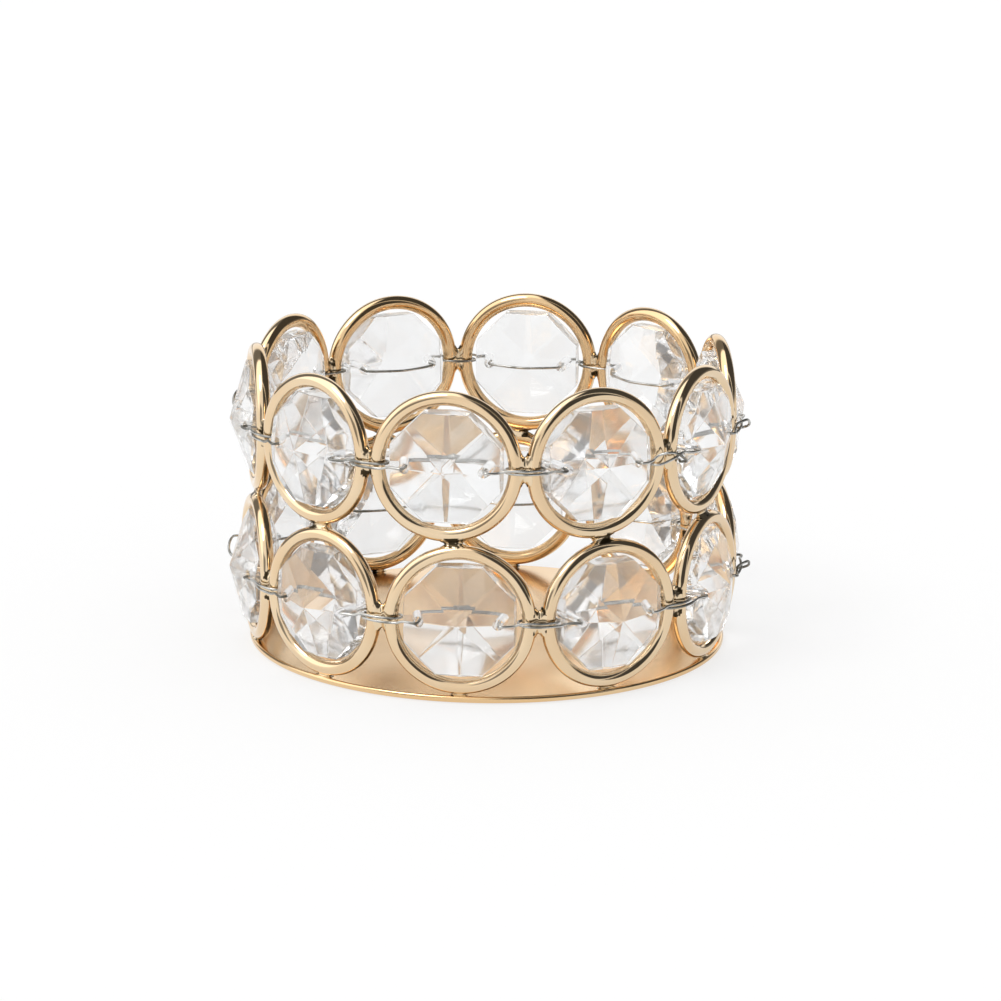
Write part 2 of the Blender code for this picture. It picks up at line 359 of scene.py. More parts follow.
@dataclass(frozen=True)
class CrystalFinish(Finish):
    """Clear cut glass with the faint haze and scuffs of a tumbled bead.

    Light that has been thrown about inside beads for a while leaves them straight on, as the renderer
    would otherwise lose it.
    """

    name: str = "clear_crystal_glass"
    clear: Colour = (0.97, 0.975, 0.975, 1.0)
    smoky: Colour = (0.925, 0.93, 0.935, 1.0)
    haze: Colour = (0.9, 0.9, 0.91, 1.0)
    haze_share: float = 0.12
    haze_least: float = 0.7
    haze_spread: float = 0.6
    clear_share: float = 0.06
    spent_after: Span = (2.4, 2.6)
    index: float = 1.5
    roughness: float = 0.06
    scuff_roughness: float = 0.05
    scuff_scale: float = 700.0
    scuff_detail: float = 4.0
    scuff_edge: Span = (0.58, 0.7)
    swell: float = 0.000004
    swell_scale: float = 260.0
    swell_detail: float = 1.0

    def _build(self, graph: Graph) -> Signal:
        """Adds the glass's nodes.

        Args:
            graph: The material's node tree.

        Returns:
            The glass's shader.
        """
        place = graph.coordinates()
        cloud = graph.noise(place, self.swell_scale, self.swell_detail)
        scuffs = graph.step(graph.noise(place, self.scuff_scale, self.scuff_detail), *self.scuff_edge)
        sockets = {
            "Base Color": graph.mix(cloud, self.clear, self.smoky),
            "Roughness": self.roughness + self.scuff_roughness * scuffs,
            "IOR": self.index,
            "Transmission Weight": 1.0,
            "Normal": graph.bump(cloud, self.swell),
        }
        glass = graph.node("ShaderNodeBsdfPrincipled", {}, sockets)
        haze = graph.node("ShaderNodeBsdfDiffuse", {}, {"Color": self.haze})
        outside = 1 - graph.node("ShaderNodeNewGeometry", {}, {}, "Backfacing")
        share = self.haze_share * (self.haze_least + self.haze_spread * cloud) * outside
        hazy = graph.node("ShaderNodeMixShader", {}, {0: share, 1: glass, 2: haze})
        clear = graph.node("ShaderNodeBsdfTransparent", {}, {"Color": self.clear})
        spent = graph.step(graph.ray(Ray.REFLECTIONS), *self.spent_after)
        through = self.clear_share + (1 - self.clear_share) * spent
        return graph.node("ShaderNodeMixShader", {}, {0: through, 1: hazy, 2: clear})


@dataclass(frozen=True)
class WireFinish(Finish):
    """Drawn silver-coloured wire, greyer where it has been handled."""

    name: str = "drawn_silver_wire"
    bright: Colour = (0.56, 0.555, 0.53, 1.0)
    dull: Colour = (0.2, 0.195, 0.175, 1.0)
    roughness: float = 0.2
    dull_roughness: float = 0.4
    patch_scale: float = 420.0
    patch_detail: float = 3.0
    patch_edge: Span = (0.42, 0.62)
    draw_mark: float = 0.000004
    draw_scale: float = 5000.0
    draw_detail: float = 2.0

    def _build(self, graph: Graph) -> Signal:
        """Adds the wire's nodes.

        Args:
            graph: The material's node tree.

        Returns:
            The wire's shader.
        """
        place = graph.coordinates()
        dull = graph.step(graph.noise(place, self.patch_scale, self.patch_detail), *self.patch_edge)
        marks = graph.noise(place, self.draw_scale, self.draw_detail)
        colour = graph.mix(dull, self.bright, self.dull)
        roughness = self.roughness + (self.dull_roughness - self.roughness) * dull
        return graph.metal(colour, roughness, graph.bump(marks, self.draw_mark))


@dataclass(frozen=True)
class Seat:
    """Where one ring and its bead stand, and how far the bead leans on its wire, top outwards."""

    row: str
    number: int
    centre: Vector
    tangent: Vector
    lean: float

    @property
    def ring_node(self) -> str:
        """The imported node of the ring."""
        return f"{self.row}_ring_{self.number:02d}"

    @property
    def bead_node(self) -> str:
        """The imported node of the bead, which is also its body's name."""
        return f"{self.row}_crystal_{self.number:02d}"

    @property
    def frame(self) -> Matrix:
        """Frame with X along the row, -Y outwards and Z up, at the ring's centre."""
        inward = Vector((0, 0, 1)).cross(self.tangent)
        turn = Matrix((self.tangent, inward, Vector((0, 0, 1)))).transposed().to_4x4()
        return Matrix.Translation(self.centre) @ turn

    @property
    def bead_frame(self) -> Matrix:
        """The bead's own frame, leaning about the line through its holes."""
        return self.frame @ Matrix.Rotation(self.lean, 4, "X")


@dataclass(frozen=True)
class RowPlan:
    """The seats of one row and the loose turns of its binding wire."""

    name: str
    seats: tuple[Seat, ...]
    loose_lashings: tuple[int, ...]

    @classmethod
    def from_joints(cls, name: str, joints: Sequence[dict[str, Any]], loose: tuple[int, ...]) -> "RowPlan":
        """Reads a row's seats from the hinges of its beads.

        Args:
            name: The row's name, with which its nodes begin.
            joints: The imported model's joints.
            loose: The seats, from 0, after which the binding wire stands proud.

        Returns:
            The row's plan.
        """
        seats = []
        for joint in joints:
            if joint["child"].startswith(f"{name}_crystal_"):
                low, high = joint["range_deg"]
                number = int(joint["child"].rsplit("_", 1)[1])
                centre, tangent = Vector(joint["pos_m"]), Vector(joint["axis"])
                seats.append(Seat(name, number, centre, tangent, -math.radians(low + high) / 2))
        seats.sort(key=lambda seat: seat.number)
        return cls(name, tuple(seats), loose)

    @property
    def height(self) -> float:
        """Height of the ring centres."""
        return self.seats[0].centre.z

    def after(self, index: int) -> Seat:
        """The next seat round the row."""
        return self.seats[(index + 1) % len(self.seats)]


def moved(points: np.ndarray, frame: Matrix) -> np.ndarray:
    """Moves rows of points by a frame."""
    turn = np.array(frame.to_3x3())
    return points @ turn.T + np.array(frame.translation)


def bridge(shape: bmesh.types.BMesh, loops: Sequence[Sequence[bmesh.types.BMVert]], closed: bool) -> None:
    """Joins loops of points, each to the next one, into a tube.

    Args:
        shape: The shape that holds the points.
        loops: The loops, each with the same number of points.
        closed: Whether the last loop joins the first.
    """
    followers = [*loops[1:], loops[0]] if closed else loops[1:]
    for loop, following in zip(loops, followers):
        for side in range(len(loop)):
            other = (side + 1) % len(loop)
            shape.faces.new((loop[side], loop[other], following[other], following[side]))


def finished_mesh(shape: bmesh.types.BMesh, name: str, smooth: bool) -> bpy.types.Mesh:
    """Turns a shape into a mesh whose faces point outwards.

    Args:
        shape: The shape, which is freed.
        name: The mesh's name.
        smooth: Whether it is shaded smooth all over.

    Returns:
        The mesh.
    """
    bmesh.ops.recalc_face_normals(shape, faces=shape.faces)
    mesh = bpy.data.meshes.new(name)
    shape.to_mesh(mesh)
    shape.free()
    if smooth:
        mesh.shade_smooth()
    return mesh


def place_piece(
    name: str, mesh: bpy.types.ID, material: bpy.types.Material | None, frame: Matrix
) -> bpy.types.Object:
    """Adds an object to the scene.

    Args:
        name: The piece's name.
        mesh: Its mesh or curve.
        material: Its finish.
        frame: Where it stands.

    Returns:
        The object.
    """
    piece = bpy.data.objects.new(name, mesh)
    bpy.context.scene.collection.objects.link(piece)
    if not mesh.materials:
        mesh.materials.append(material)
    piece.matrix_world = frame
    return piece


def level_frame(middle: Vector, along: Vector) -> Matrix:
    """Frame for a level groove through the middle, with Z along the row, X down and -Y outwards."""
    down = Vector((0, 0, -1))
    return Matrix.Translation(middle) @ Matrix((down, along.cross(down), along)).transposed().to_4x4()


def lashing_frame(plan: RowPlan, index: int, radius: float) -> tuple[Matrix, float]:
    """Frame between the two wires that meet after a seat, on the line joining them.

    Args:
        plan: The row.
        index: The seat, from 0.
        radius: Radius of the wire's centre line.

    Returns:
        The frame, with X along the row, -Y outwards and Z up, and half the distance between the wires.
    """
    seat, neighbour = plan.seats[index], plan.after(index)
    left = seat.centre + seat.tangent * radius
    right = neighbour.centre - neighbour.tangent * radius
    across = (right - left).normalized()
    between_wires = Seat(plan.name, seat.number, (left + right) / 2, across, 0.0)
    return between_wires.frame, (right - left).length / 2


@dataclass(frozen=True)
class WireRing:
    """The round wire and the ring that is bent from it."""

    wire: float = 1.75 * MM
    steps: int = 96
    sides: int = 20
    waver: float = 0.035 * MM
    waver_scale: float = 1.3
    waver_spread: float = 40.0

    def reach(self, plan: RowPlan) -> float:
        """Outer radius of a ring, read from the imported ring."""
        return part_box(plan.seats[0].ring_node)[1].z - plan.height

    def radius(self, plan: RowPlan) -> float:
        """Radius of the wire's centre line."""
        return self.reach(plan) - self.wire / 2

    def mesh(self, seat: Seat, radius: float) -> bpy.types.Mesh:
        """Makes one ring, bent by hand and so not quite round.

        Args:
            seat: Where the ring stands, which also sets how it wavers.
            radius: Radius of the wire's centre line.

        Returns:
            The ring's mesh in its seat's frame.
        """
        shape = bmesh.new()
        loops = []
        for step in range(self.steps):
            around = 2 * math.pi * step / self.steps
            spoke = Vector((math.cos(around), 0, math.sin(around)))
            bend = noise.noise(self.waver_scale * spoke + self.waver_spread * seat.centre / radius)
            loop = []
            for side in range(self.sides):
                across = 2 * math.pi * side / self.sides
                reach = radius + self.waver * bend + self.wire / 2 * math.cos(across)
                loop.append(shape.verts.new(spoke * reach + Vector((0, self.wire / 2 * math.sin(across), 0))))
            loops.append(loop)
        bridge(shape, loops, closed=True)
        return finished_mesh(shape, seat.ring_node, smooth=True)

    def outside(self, seat: Seat, radius: float) -> Field:
        """How far a point lies outside the wire of a ring.

        Args:
            seat: The ring's seat.
            radius: Radius of the wire's centre line.

        Returns:
            The distance as a function of rows of points, below 0 inside the wire.
        """
        back = seat.frame.inverted()

        def distance(points: np.ndarray) -> np.ndarray:
            """The distance of each point."""
            along, across, up = moved(points, back).T
            return np.hypot(np.hypot(along, up) - radius, across) - self.wire / 2

        return distance


@dataclass
class BasePlate:
    """The thin round plate that carries the holder, with a rounded edge."""

    radius: float
    thickness: float
    steps: int = 192
    edge_steps: int = 8
    edge_rounding: float = 0.34 * MM
    gilt: GiltFinish = GiltFinish(
        name="gilt_base_plate",
        light=(0.865, 0.63, 0.375, 1.0),
        deep=(0.845, 0.575, 0.305, 1.0),
        # inside: painted warm reflection on faces that point back, along +Y
        inside=(0.855, 0.6, 0.34, 1.0),
        roughness=0.14,
        roughness_spread=0.08,
        wave=0.000012,
        wave_scale=60.0,
        patch_scale=60.0,
    )

    @classmethod
    def from_frame(cls) -> "BasePlate":
        """Reads the plate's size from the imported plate."""
        low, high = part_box("base_plate")
        return cls(radius=(high.x - low.x) / 2, thickness=high.z)

    def build(self) -> None:
        """Makes the plate by turning its profile."""
        shape = bmesh.new()
        foot, *section, top = self._profile()
        loops = []
        for reach, height in section:
            loop = []
            for step in range(self.steps):
                around = 2 * math.pi * step / self.steps
                loop.append(shape.verts.new((reach * math.cos(around), reach * math.sin(around), height)))
            loops.append(loop)
        bridge(shape, loops, closed=False)
        for (_, height), loop in ((foot, loops[0]), (top, loops[-1])):
            middle = shape.verts.new((0, 0, height))
            for side in range(self.steps):
                shape.faces.new((middle, loop[side], loop[(side + 1) % self.steps]))
        mesh = finished_mesh(shape, "gilt_base_plate", smooth=True)
        plate = place_piece("gilt_base_plate", mesh, self.gilt.make(), Matrix.Identity(4))
        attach(plate, Body.HOLDER.value)
        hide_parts("base_plate")
        LOG.info("base plate: %.1f mm across, %.1f mm thick", 2 * self.radius / MM, self.thickness / MM)

    def outside(self) -> Field:
        """How far a point lies outside the plate.

        Returns:
            The distance as a function of rows of points, below 0 inside the plate.
        """
        rounding = self.edge_rounding

        def distance(points: np.ndarray) -> np.ndarray:
            """The distance of each point.

            Args:
                points: Rows of points.

            Returns:
                Their distances.
            """
            out = np.hypot(points[:, 0], points[:, 1]) - (self.radius - rounding)
            up = np.abs(points[:, 2] - self.thickness / 2) - (self.thickness / 2 - rounding)
            beyond = np.hypot(np.maximum(out, 0), np.maximum(up, 0))
            return beyond + np.minimum(np.maximum(out, up), 0) - rounding

        return distance

    def _profile(self) -> list[Span]:
        """The plate's section.

        Returns:
            Its points, each a reach and a height, from the middle below, round the edge, to the middle above.
        """
        inner = self.radius - self.edge_rounding
        profile = [(0.0, 0.0), (inner / 2, 0.0)]
        for sign, centre in ((-1, self.edge_rounding), (1, self.thickness - self.edge_rounding)):
            for step in range(self.edge_steps + 1):
                turn = math.pi / 2 * step / self.edge_steps
                angle = turn - math.pi / 2 if sign < 0 else turn
                reach = inner + self.edge_rounding * math.cos(angle)
                profile.append((reach, centre + self.edge_rounding * math.sin(angle)))
        profile += [(inner / 2, self.thickness), (0.0, self.thickness)]
        return profile


@dataclass(frozen=True)
class SolderFillet:
    """Solder drawn into the groove between two surfaces, hollow and running smoothly into both.

    Its frame has X from one surface to the other and the groove along Z.
    """

    frame: Matrix
    first: Field
    second: Field
    half_length: float
    half_width: float
    sink: float = 0.012 * MM
    over_reach: float = 1.3
    slices: int = 17
    spokes: int = 40
    probes: int = 40
    halvings: int = 10

    def mesh(self, name: str) -> bpy.types.Mesh:
        """Makes the fillet, whose outer slices end inside the two parts.

        Args:
            name: The mesh's name.

        Returns:
            The fillet's mesh in its own frame.
        """
        angles = np.linspace(0, 2 * math.pi, self.spokes, endpoint=False)
        spokes = np.stack((np.zeros_like(angles), np.cos(angles), np.sin(angles)), axis=1)
        shape = bmesh.new()
        loops = []
        for place in np.linspace(-self.half_width, self.half_width, self.slices):
            start = np.array((place, 0.0, 0.0))
            reach = self._reach(start, spokes)
            loops.append([shape.verts.new(tuple(point)) for point in start + spokes * reach[:, None]])
        bridge(shape, loops, closed=False)
        shape.faces.new(loops[0])
        shape.faces.new(loops[-1])
        return finished_mesh(shape, name, smooth=True)

    def _blend(self) -> float:
        """How widely the two surfaces blend.

        Returns:
            The width at which the solder ends within its length at both ends.
        """
        ends = moved(np.array(((0.0, 0.0, self.half_length), (0.0, 0.0, -self.half_length))), self.frame)
        first, second = self.first(ends), self.second(ends)
        nearer = 2 * (np.minimum(first, second) + self.sink)
        apart = np.abs(first - second)
        return float(np.min(apart + nearer + np.sqrt((apart + nearer) ** 2 - apart**2)))

    def _blended(self, points: np.ndarray) -> np.ndarray:
        """How far points lie outside the solder and the parts that it joins, as one smooth skin.

        Args:
            points: Rows of points in the fillet's frame.

        Returns:
            The distance of each point, below 0 inside the skin.
        """
        blend = self._blend()
        world = moved(points, self.frame)
        first, second = self.first(world), self.second(world)
        overlap = np.maximum(blend - np.abs(first - second), 0) / blend
        return np.minimum(first, second) - overlap**2 * blend / 4 + self.sink

    def _reach(self, start: np.ndarray, spokes: np.ndarray) -> np.ndarray:
        """How far the skin lies from a start.

        Args:
            start: A point inside the skin.
            spokes: The directions to look in, one in each row.

        Returns:
            The distance along each spoke.
        """
        limit = self.half_length * self.over_reach
        low = np.zeros(len(spokes))
        high = np.full(len(spokes), limit)
        open_yet = np.ones(len(spokes), dtype=bool)
        for probe in np.linspace(0, limit, self.probes)[1:]:
            outside = self._blended(start + spokes * probe) > 0
            high = np.where(open_yet & outside, probe, high)
            open_yet &= ~outside
            low = np.where(open_yet, probe, low)
        for _ in range(self.halvings):
            middle = (low + high) / 2
            outside = self._blended(start + spokes * middle[:, None]) > 0
            high, low = np.where(outside, middle, high), np.where(outside, low, middle)
        return low


@dataclass
class RingLattice:
    """Both rows of rings with the solder that joins them to one another and to the plate.

    The solder's widths are shares of half the distance between two wires, or of the gap between two rows.
    """

    plans: dict[str, RowPlan]
    plate: BasePlate
    ring: WireRing = field(default_factory=WireRing)
    side_solder_length: float = 2.9 * MM
    side_solder_width: float = 0.8
    row_solder_length: float = 2.5 * MM
    row_solder_width: float = 0.4
    foot_solder_length: float = 1.8 * MM
    solder_spread: float = 0.18
    number_spread: float = 1.7
    height_spread: float = 90.0
    gilt: GiltFinish = GiltFinish(
        name="gilt_ring_wire",
        light=(0.84, 0.665, 0.45, 1.0),
        deep=(0.81, 0.60, 0.375, 1.0),
        # inside: painted warm reflection on the rings' inward faces, standing in for light thrown back by the
        # other rings
        inside=(0.81, 0.57, 0.32, 1.0),
        roughness=0.06,
        roughness_spread=0.06,
        wave=0.000014,
        wave_scale=240.0,
    )
    side_solder: SolderFinish = SolderFinish(name="side_solder", fleck_share=0.6)
    row_solder: SolderFinish = SolderFinish(name="row_solder", fleck_share=0.43, end_share=-0.06)

    def build(self) -> None:
        """Makes every ring and every joint of solder."""
        gilt = self.gilt.make()
        side_solder = self.side_solder.make()
        row_solder = self.row_solder.make()
        for plan in self.plans.values():
            radius = self.ring.radius(plan)
            for index, seat in enumerate(plan.seats):
                mesh = self.ring.mesh(seat, radius)
                ring = place_piece(f"{seat.row}_gilt_ring_{seat.number:02d}", mesh, gilt, seat.frame)
                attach(ring, Body.HOLDER.value)
                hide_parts(seat.ring_node)
                self._add_side_solder(plan, index, radius, side_solder)
            LOG.info("%s row: %d rings of %.2f mm wire", plan.name, len(plan.seats), self.ring.wire / MM)
        self._add_row_solder(row_solder)
        self._add_foot_solder(side_solder)

    def _waver(self, seat: Seat, joint: SolderJoint) -> float:
        """How much larger or smaller than usual a joint of solder came out."""
        place = Vector((joint.value, seat.number * self.number_spread, seat.centre.z * self.height_spread))
        return 1 + self.solder_spread * noise.noise(place)

    def _keep_solder(self, name: str, fillet: SolderFillet, material: bpy.types.Material) -> None:
        """Adds a joint of solder to the holder.

        Args:
            name: The piece's name.
            fillet: The solder's form.
            material: Its finish.
        """
        lump = place_piece(name, fillet.mesh(name), material, fillet.frame)
        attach(lump, Body.HOLDER.value)

    def _add_side_solder(self, plan: RowPlan, index: int, radius: float, solder: bpy.types.Material) -> None:
        """Fills the groove between a ring and the next one.

        Args:
            plan: The row.
            index: The ring's seat, from 0.
            radius: Radius of the wire's centre line.
            solder: The solder's material.
        """
        seat = plan.seats[index]
        frame, half_span = lashing_frame(plan, index, radius)
        first, second = self.ring.outside(seat, radius), self.ring.outside(plan.after(index), radius)
        half_length = self.side_solder_length / 2 * self._waver(seat, SolderJoint.SIDE)
        fillet = SolderFillet(frame, first, second, half_length, self.side_solder_width * half_span)
        self._keep_solder(f"{seat.row}_side_solder_{seat.number:02d}", fillet, solder)

    def _add_row_solder(self, solder: bpy.types.Material) -> None:
        """Joins the foot of each upper ring to the head of the lower ring under it.

        Args:
            solder: The solder's material.
        """
        upper, lower = self.plans["upper"], self.plans["lower"]
        above_radius, radius = self.ring.radius(upper), self.ring.radius(lower)
        for seat, below in zip(upper.seats, lower.seats):
            foot = seat.centre - Vector((0, 0, above_radius))
            head = below.centre + Vector((0, 0, radius))
            frame = level_frame((foot + head) / 2, (seat.tangent + below.tangent).normalized())
            first, second = self.ring.outside(seat, above_radius), self.ring.outside(below, radius)
            half_length = self.row_solder_length / 2 * self._waver(seat, SolderJoint.ROW)
            half_width = self.row_solder_width * (foot.z - head.z)
            fillet = SolderFillet(frame, first, second, half_length, half_width)
            self._keep_solder(f"row_solder_{seat.number:02d}", fillet, solder)

    def _add_foot_solder(self, solder: bpy.types.Material) -> None:
        """Joins the foot of each lower ring to the plate.

        Args:
            solder: The solder's material.
        """
        lower = self.plans["lower"]
        radius = self.ring.radius(lower)
        second = self.plate.outside()
        for seat in lower.seats:
            foot = seat.centre - Vector((0, 0, radius + self.ring.wire / 2))
            gap = foot.z - self.plate.thickness
            frame = level_frame(foot - Vector((0, 0, gap / 2)), seat.tangent)
            first = self.ring.outside(seat, radius)
            half_length = self.foot_solder_length / 2 * self._waver(seat, SolderJoint.FOOT)
            fillet = SolderFillet(frame, first, second, half_length, self.plate.thickness / 2)
            self._keep_solder(f"foot_solder_{seat.number:02d}", fillet, solder)


@dataclass
class CrystalBeads:
    """The octagonal two-hole beads, one in each ring."""

    plans: dict[str, RowPlan]
    width: float = 13.1 * MM
    thickness: float = 7.0 * MM
    corner_edge: float = 2.0 * MM
    sides: int = 8
    hole_spacing: float = 9.4 * MM
    hole: float = 1.3 * MM
    hole_steps: int = 24
    arris: float = 0.07 * MM
    arris_steps: int = 2
    arris_fullness: float = 0.5
    glass: CrystalFinish = CrystalFinish()

    @property
    def half_side(self) -> float:
        """Half the angle that one side of the bead takes."""
        return math.pi / self.sides

    @property
    def corner_reach(self) -> float:
        """Distance of the corners from the bead's middle."""
        return self.width / 2 / math.cos(self.half_side)

    def height(self, reach: float) -> float:
        """Height of a face over the bead's middle plane, on the ridge to the middle of a side."""
        slope = (self.thickness - self.corner_edge) / 2 / self.corner_reach
        return self.thickness / 2 - slope * reach * math.cos(self.half_side)

    def build(self) -> None:
        """Makes every bead from one cut shape."""
        glass = self.glass.make()
        mesh = self._cut_mesh()
        for plan in self.plans.values():
            for seat in plan.seats:
                name = f"{seat.row}_cut_crystal_{seat.number:02d}"
                bead = place_piece(name, mesh, glass, seat.bead_frame)
                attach(bead, seat.bead_node)
                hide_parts(seat.bead_node)
            LOG.info("%s row: %d beads of %.1f mm", plan.name, len(plan.seats), self.width / MM)

    def _cut_mesh(self) -> bpy.types.Mesh:
        """Makes the faceted bead with its two holes.

        Returns:
            The bead's mesh.
        """
        body = place_piece("bead_blank", self._blank(), None, Matrix.Identity(4))
        drills = place_piece("bead_drills", self._drills(), None, Matrix.Identity(4))
        cut = body.modifiers.new("holes", "BOOLEAN")
        cut.operation = "DIFFERENCE"
        cut.solver = "EXACT"
        cut.object = drills
        depsgraph = bpy.context.evaluated_depsgraph_get()
        mesh = bpy.data.meshes.new_from_object(body.evaluated_get(depsgraph))
        for scrap in (body, drills):
            bpy.data.objects.remove(scrap, do_unlink=True)
        mesh.name = "cut_crystal"
        mesh.materials.clear()
        return mesh

    def _blank(self) -> bpy.types.Mesh:
        """Makes the bead before drilling: kite facets on both faces, flat sides and narrow arrises.

        Returns:
            The blank's mesh.
        """
        shape = bmesh.new()
        rims = []
        for face in (-1, 1):
            apex = shape.verts.new((0, face * self.thickness / 2, 0))
            middles = self._rim(shape, self.width / 2, face * self.height(self.width / 2), 0.0)
            corners = self._rim(shape, self.corner_reach, face * self.corner_edge / 2, self.half_side)
            for side in range(self.sides):
                following = (side + 1) % self.sides
                shape.faces.new((apex, middles[side], corners[side], middles[following]))
            rims.append((middles, corners))
        (front_middles, front_corners), (back_middles, back_corners) = rims
        for side in range(self.sides):
            before = side - 1
            front = (front_corners[before], front_middles[side], front_corners[side])
            back = (back_corners[side], back_middles[side], back_corners[before])
            shape.faces.new(front + back)
        bmesh.ops.recalc_face_normals(shape, faces=shape.faces)
        bmesh.ops.bevel(
            shape, geom=list(shape.edges), offset=self.arris, segments=self.arris_steps, affect="EDGES",
            profile=self.arris_fullness,
        )
        return finished_mesh(shape, "bead_blank", smooth=False)

    def _rim(
        self, shape: bmesh.types.BMesh, reach: float, depth: float, turn: float
    ) -> list[bmesh.types.BMVert]:
        """Adds a ring of points at the middles or the corners of the bead's sides.

        Args:
            shape: The shape to add them to.
            reach: Their distance from the bead's middle.
            depth: Their place along the bead's thickness.
            turn: The angle of the first one, in radians.

        Returns:
            The points.
        """
        rim = []
        for side in range(self.sides):
            angle = 2 * self.half_side * side + turn
            rim.append(shape.verts.new((reach * math.cos(angle), depth, reach * math.sin(angle))))
        return rim

    def _drills(self) -> bpy.types.Mesh:
        """Makes the two drills, which run through the bead near its left and right sides.

        Returns:
            One mesh of both drills.
        """
        shape = bmesh.new()
        for side in (-1, 1):
            place = Matrix.Translation((side * self.hole_spacing / 2, 0, 0))
            bmesh.ops.create_cone(
                shape, cap_ends=True, segments=self.hole_steps, radius1=self.hole / 2, radius2=self.hole / 2,
                depth=2 * self.thickness, matrix=place @ Matrix.Rotation(math.pi / 2, 4, "X"),
            )
        return finished_mesh(shape, "bead_drills", smooth=False)


@dataclass
class BindingWires:
    """The thin wire of each row, which threads every bead and is lashed round each pair of rings.

    A loose strand's ways are its places along the row, outwards and up, as shares of its span, its slack
    and its rise.
    """

    plans: dict[str, RowPlan]
    beads: CrystalBeads
    ring: WireRing
    wire: float = 0.32 * MM
    wire_facets: int = 3
    clearance: float = 0.215 * MM
    bead_clearance: float = 0.25 * MM
    pitch: float = 0.45 * MM
    pitch_spread: float = 0.6
    pitch_scale: float = 300.0
    slack: float = 0.3 * MM
    loose_slack: float = 1.2 * MM
    loose_ways: tuple[tuple[float, float, float], ...] = (
        (-1.0, 0.0, 0.55), (-0.55, 0.75, 0.95), (0.0, 1.0, 0.6), (0.5, 0.95, -0.25), (0.9, 0.45, -0.85),
    )
    loop_rise: float = 0.9 * MM
    back_slack: float = 0.2 * MM
    turn_points: int = 4
    turn_step: float = 37.0
    tail_rise: float = 1.5 * MM
    mouth_bend: float = 0.3 * MM
    apex_bend: float = 0.6 * MM
    first_seat: int = 6
    smoothing: int = 6
    finish: WireFinish = WireFinish()

    @property
    def reach(self) -> float:
        """Distance of a lashing's centre line from that of the ring wire that it goes round."""
        return self.ring.wire / 2 + self.clearance + self.wire / 2

    def build(self) -> None:
        """Makes one wire for each row."""
        silver = self.finish.make()
        for plan in self.plans.values():
            name = f"{plan.name}_lashed_wire"
            curve = bpy.data.curves.new(name, "CURVE")
            curve.dimensions = "3D"
            curve.bevel_depth = self.wire / 2
            curve.bevel_resolution = self.wire_facets
            curve.use_fill_caps = True
            route = smoothed(self._route(plan), self.smoothing)
            spline = curve.splines.new("POLY")
            spline.points.add(len(route) - 1)
            for point, place in zip(spline.points, route):
                point.co = (*place, 1.0)
            wire = place_piece(name, curve, silver, Matrix.Identity(4))
            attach(wire, Body.HOLDER.value)
            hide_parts(f"{plan.name}_binding_wire")
            LOG.info("%s row: binding wire with %d points", plan.name, len(route))

    def _route(self, plan: RowPlan) -> list[Vector]:
        """The wire's whole way round a row.

        Args:
            plan: The row.

        Returns:
            The route's points.
        """
        count = len(plan.seats)
        route = self._tail(plan, self.first_seat - 1)
        for turn in range(count):
            index = (self.first_seat + turn) % count
            route += self._threading(plan.seats[index])
            route += self._lashing(plan, index)
        return route[:-1]

    def _tail(self, plan: RowPlan, index: int) -> list[Vector]:
        """The wire's first end, in front of the pair of rings that meets after a seat.

        Args:
            plan: The row.
            index: The seat, from 0.

        Returns:
            The end's points.
        """
        frame, half_span = lashing_frame(plan, index, self.ring.radius(plan))
        start = Vector((0, -self.reach - self.slack, self.tail_rise))
        end = Vector((half_span + self.reach, -self.reach, self.tail_rise))
        return [frame @ start, frame @ end]

    def _lashing(self, plan: RowPlan, index: int) -> list[Vector]:
        """One turn round the two ring wires that meet after a seat.

        Args:
            plan: The row.
            index: The seat, from 0.

        Returns:
            The turn's points.
        """
        frame, half_span = lashing_frame(plan, index, self.ring.radius(plan))
        rise = self.pitch / 2 * (1 + self.pitch_spread * noise.noise(frame.translation * self.pitch_scale))
        end = Vector((half_span + self.reach, -self.reach, -rise))
        if index in plan.loose_lashings:
            front = self._loop(half_span)
            far, near, end.z = -self.loop_rise, rise - self.loop_rise, rise
        else:
            corner = Vector((-half_span - self.reach, -self.reach, rise))
            front = [corner, Vector((0, -self.reach - self.slack, rise))]
            far, near = rise, -rise
        right = self._turn(half_span, far, (far + near) / 2)
        back = Vector((0, self.reach + self.back_slack, (far + near) / 2))
        left = [Vector((-point.x, point.y, near + far - point.z)) for point in reversed(right)]
        front_again = Vector((0, -self.reach - self.slack, (near + end.z) / 2))
        return [frame @ point for point in (*front, *right, back, *left, front_again, end)]

    def _loop(self, half_span: float) -> list[Vector]:
        """A strand that was never pulled tight: it stands out in front of the rings and dips as it crosses.

        Args:
            half_span: Half the distance between the two ring wires.

        Returns:
            The strand's points.
        """
        strand = []
        for along, out, up in self.loose_ways:
            place = along * (half_span + self.reach)
            strand.append(Vector((place, -self.reach - out * self.loose_slack, up * self.loop_rise)))
        return strand

    def _turn(self, half_span: float, start: float, end: float) -> list[Vector]:
        """Half a turn round the right-hand ring wire, from front to back.

        Args:
            half_span: Half the distance between the two ring wires.
            start: Height at the front.
            end: Height at the back.

        Returns:
            The turn's points.
        """
        turn = []
        turn_reach = self.reach / math.cos(math.radians(self.turn_step / 2))
        for step in range(self.turn_points):
            angle = math.radians(self.turn_step * ((self.turn_points - 1) / 2 - step))
            height = start + (end - start) * (step + 1) / (self.turn_points + 1)
            place = half_span + turn_reach * math.cos(angle)
            turn.append(Vector((place, -turn_reach * math.sin(angle), height)))
        return turn

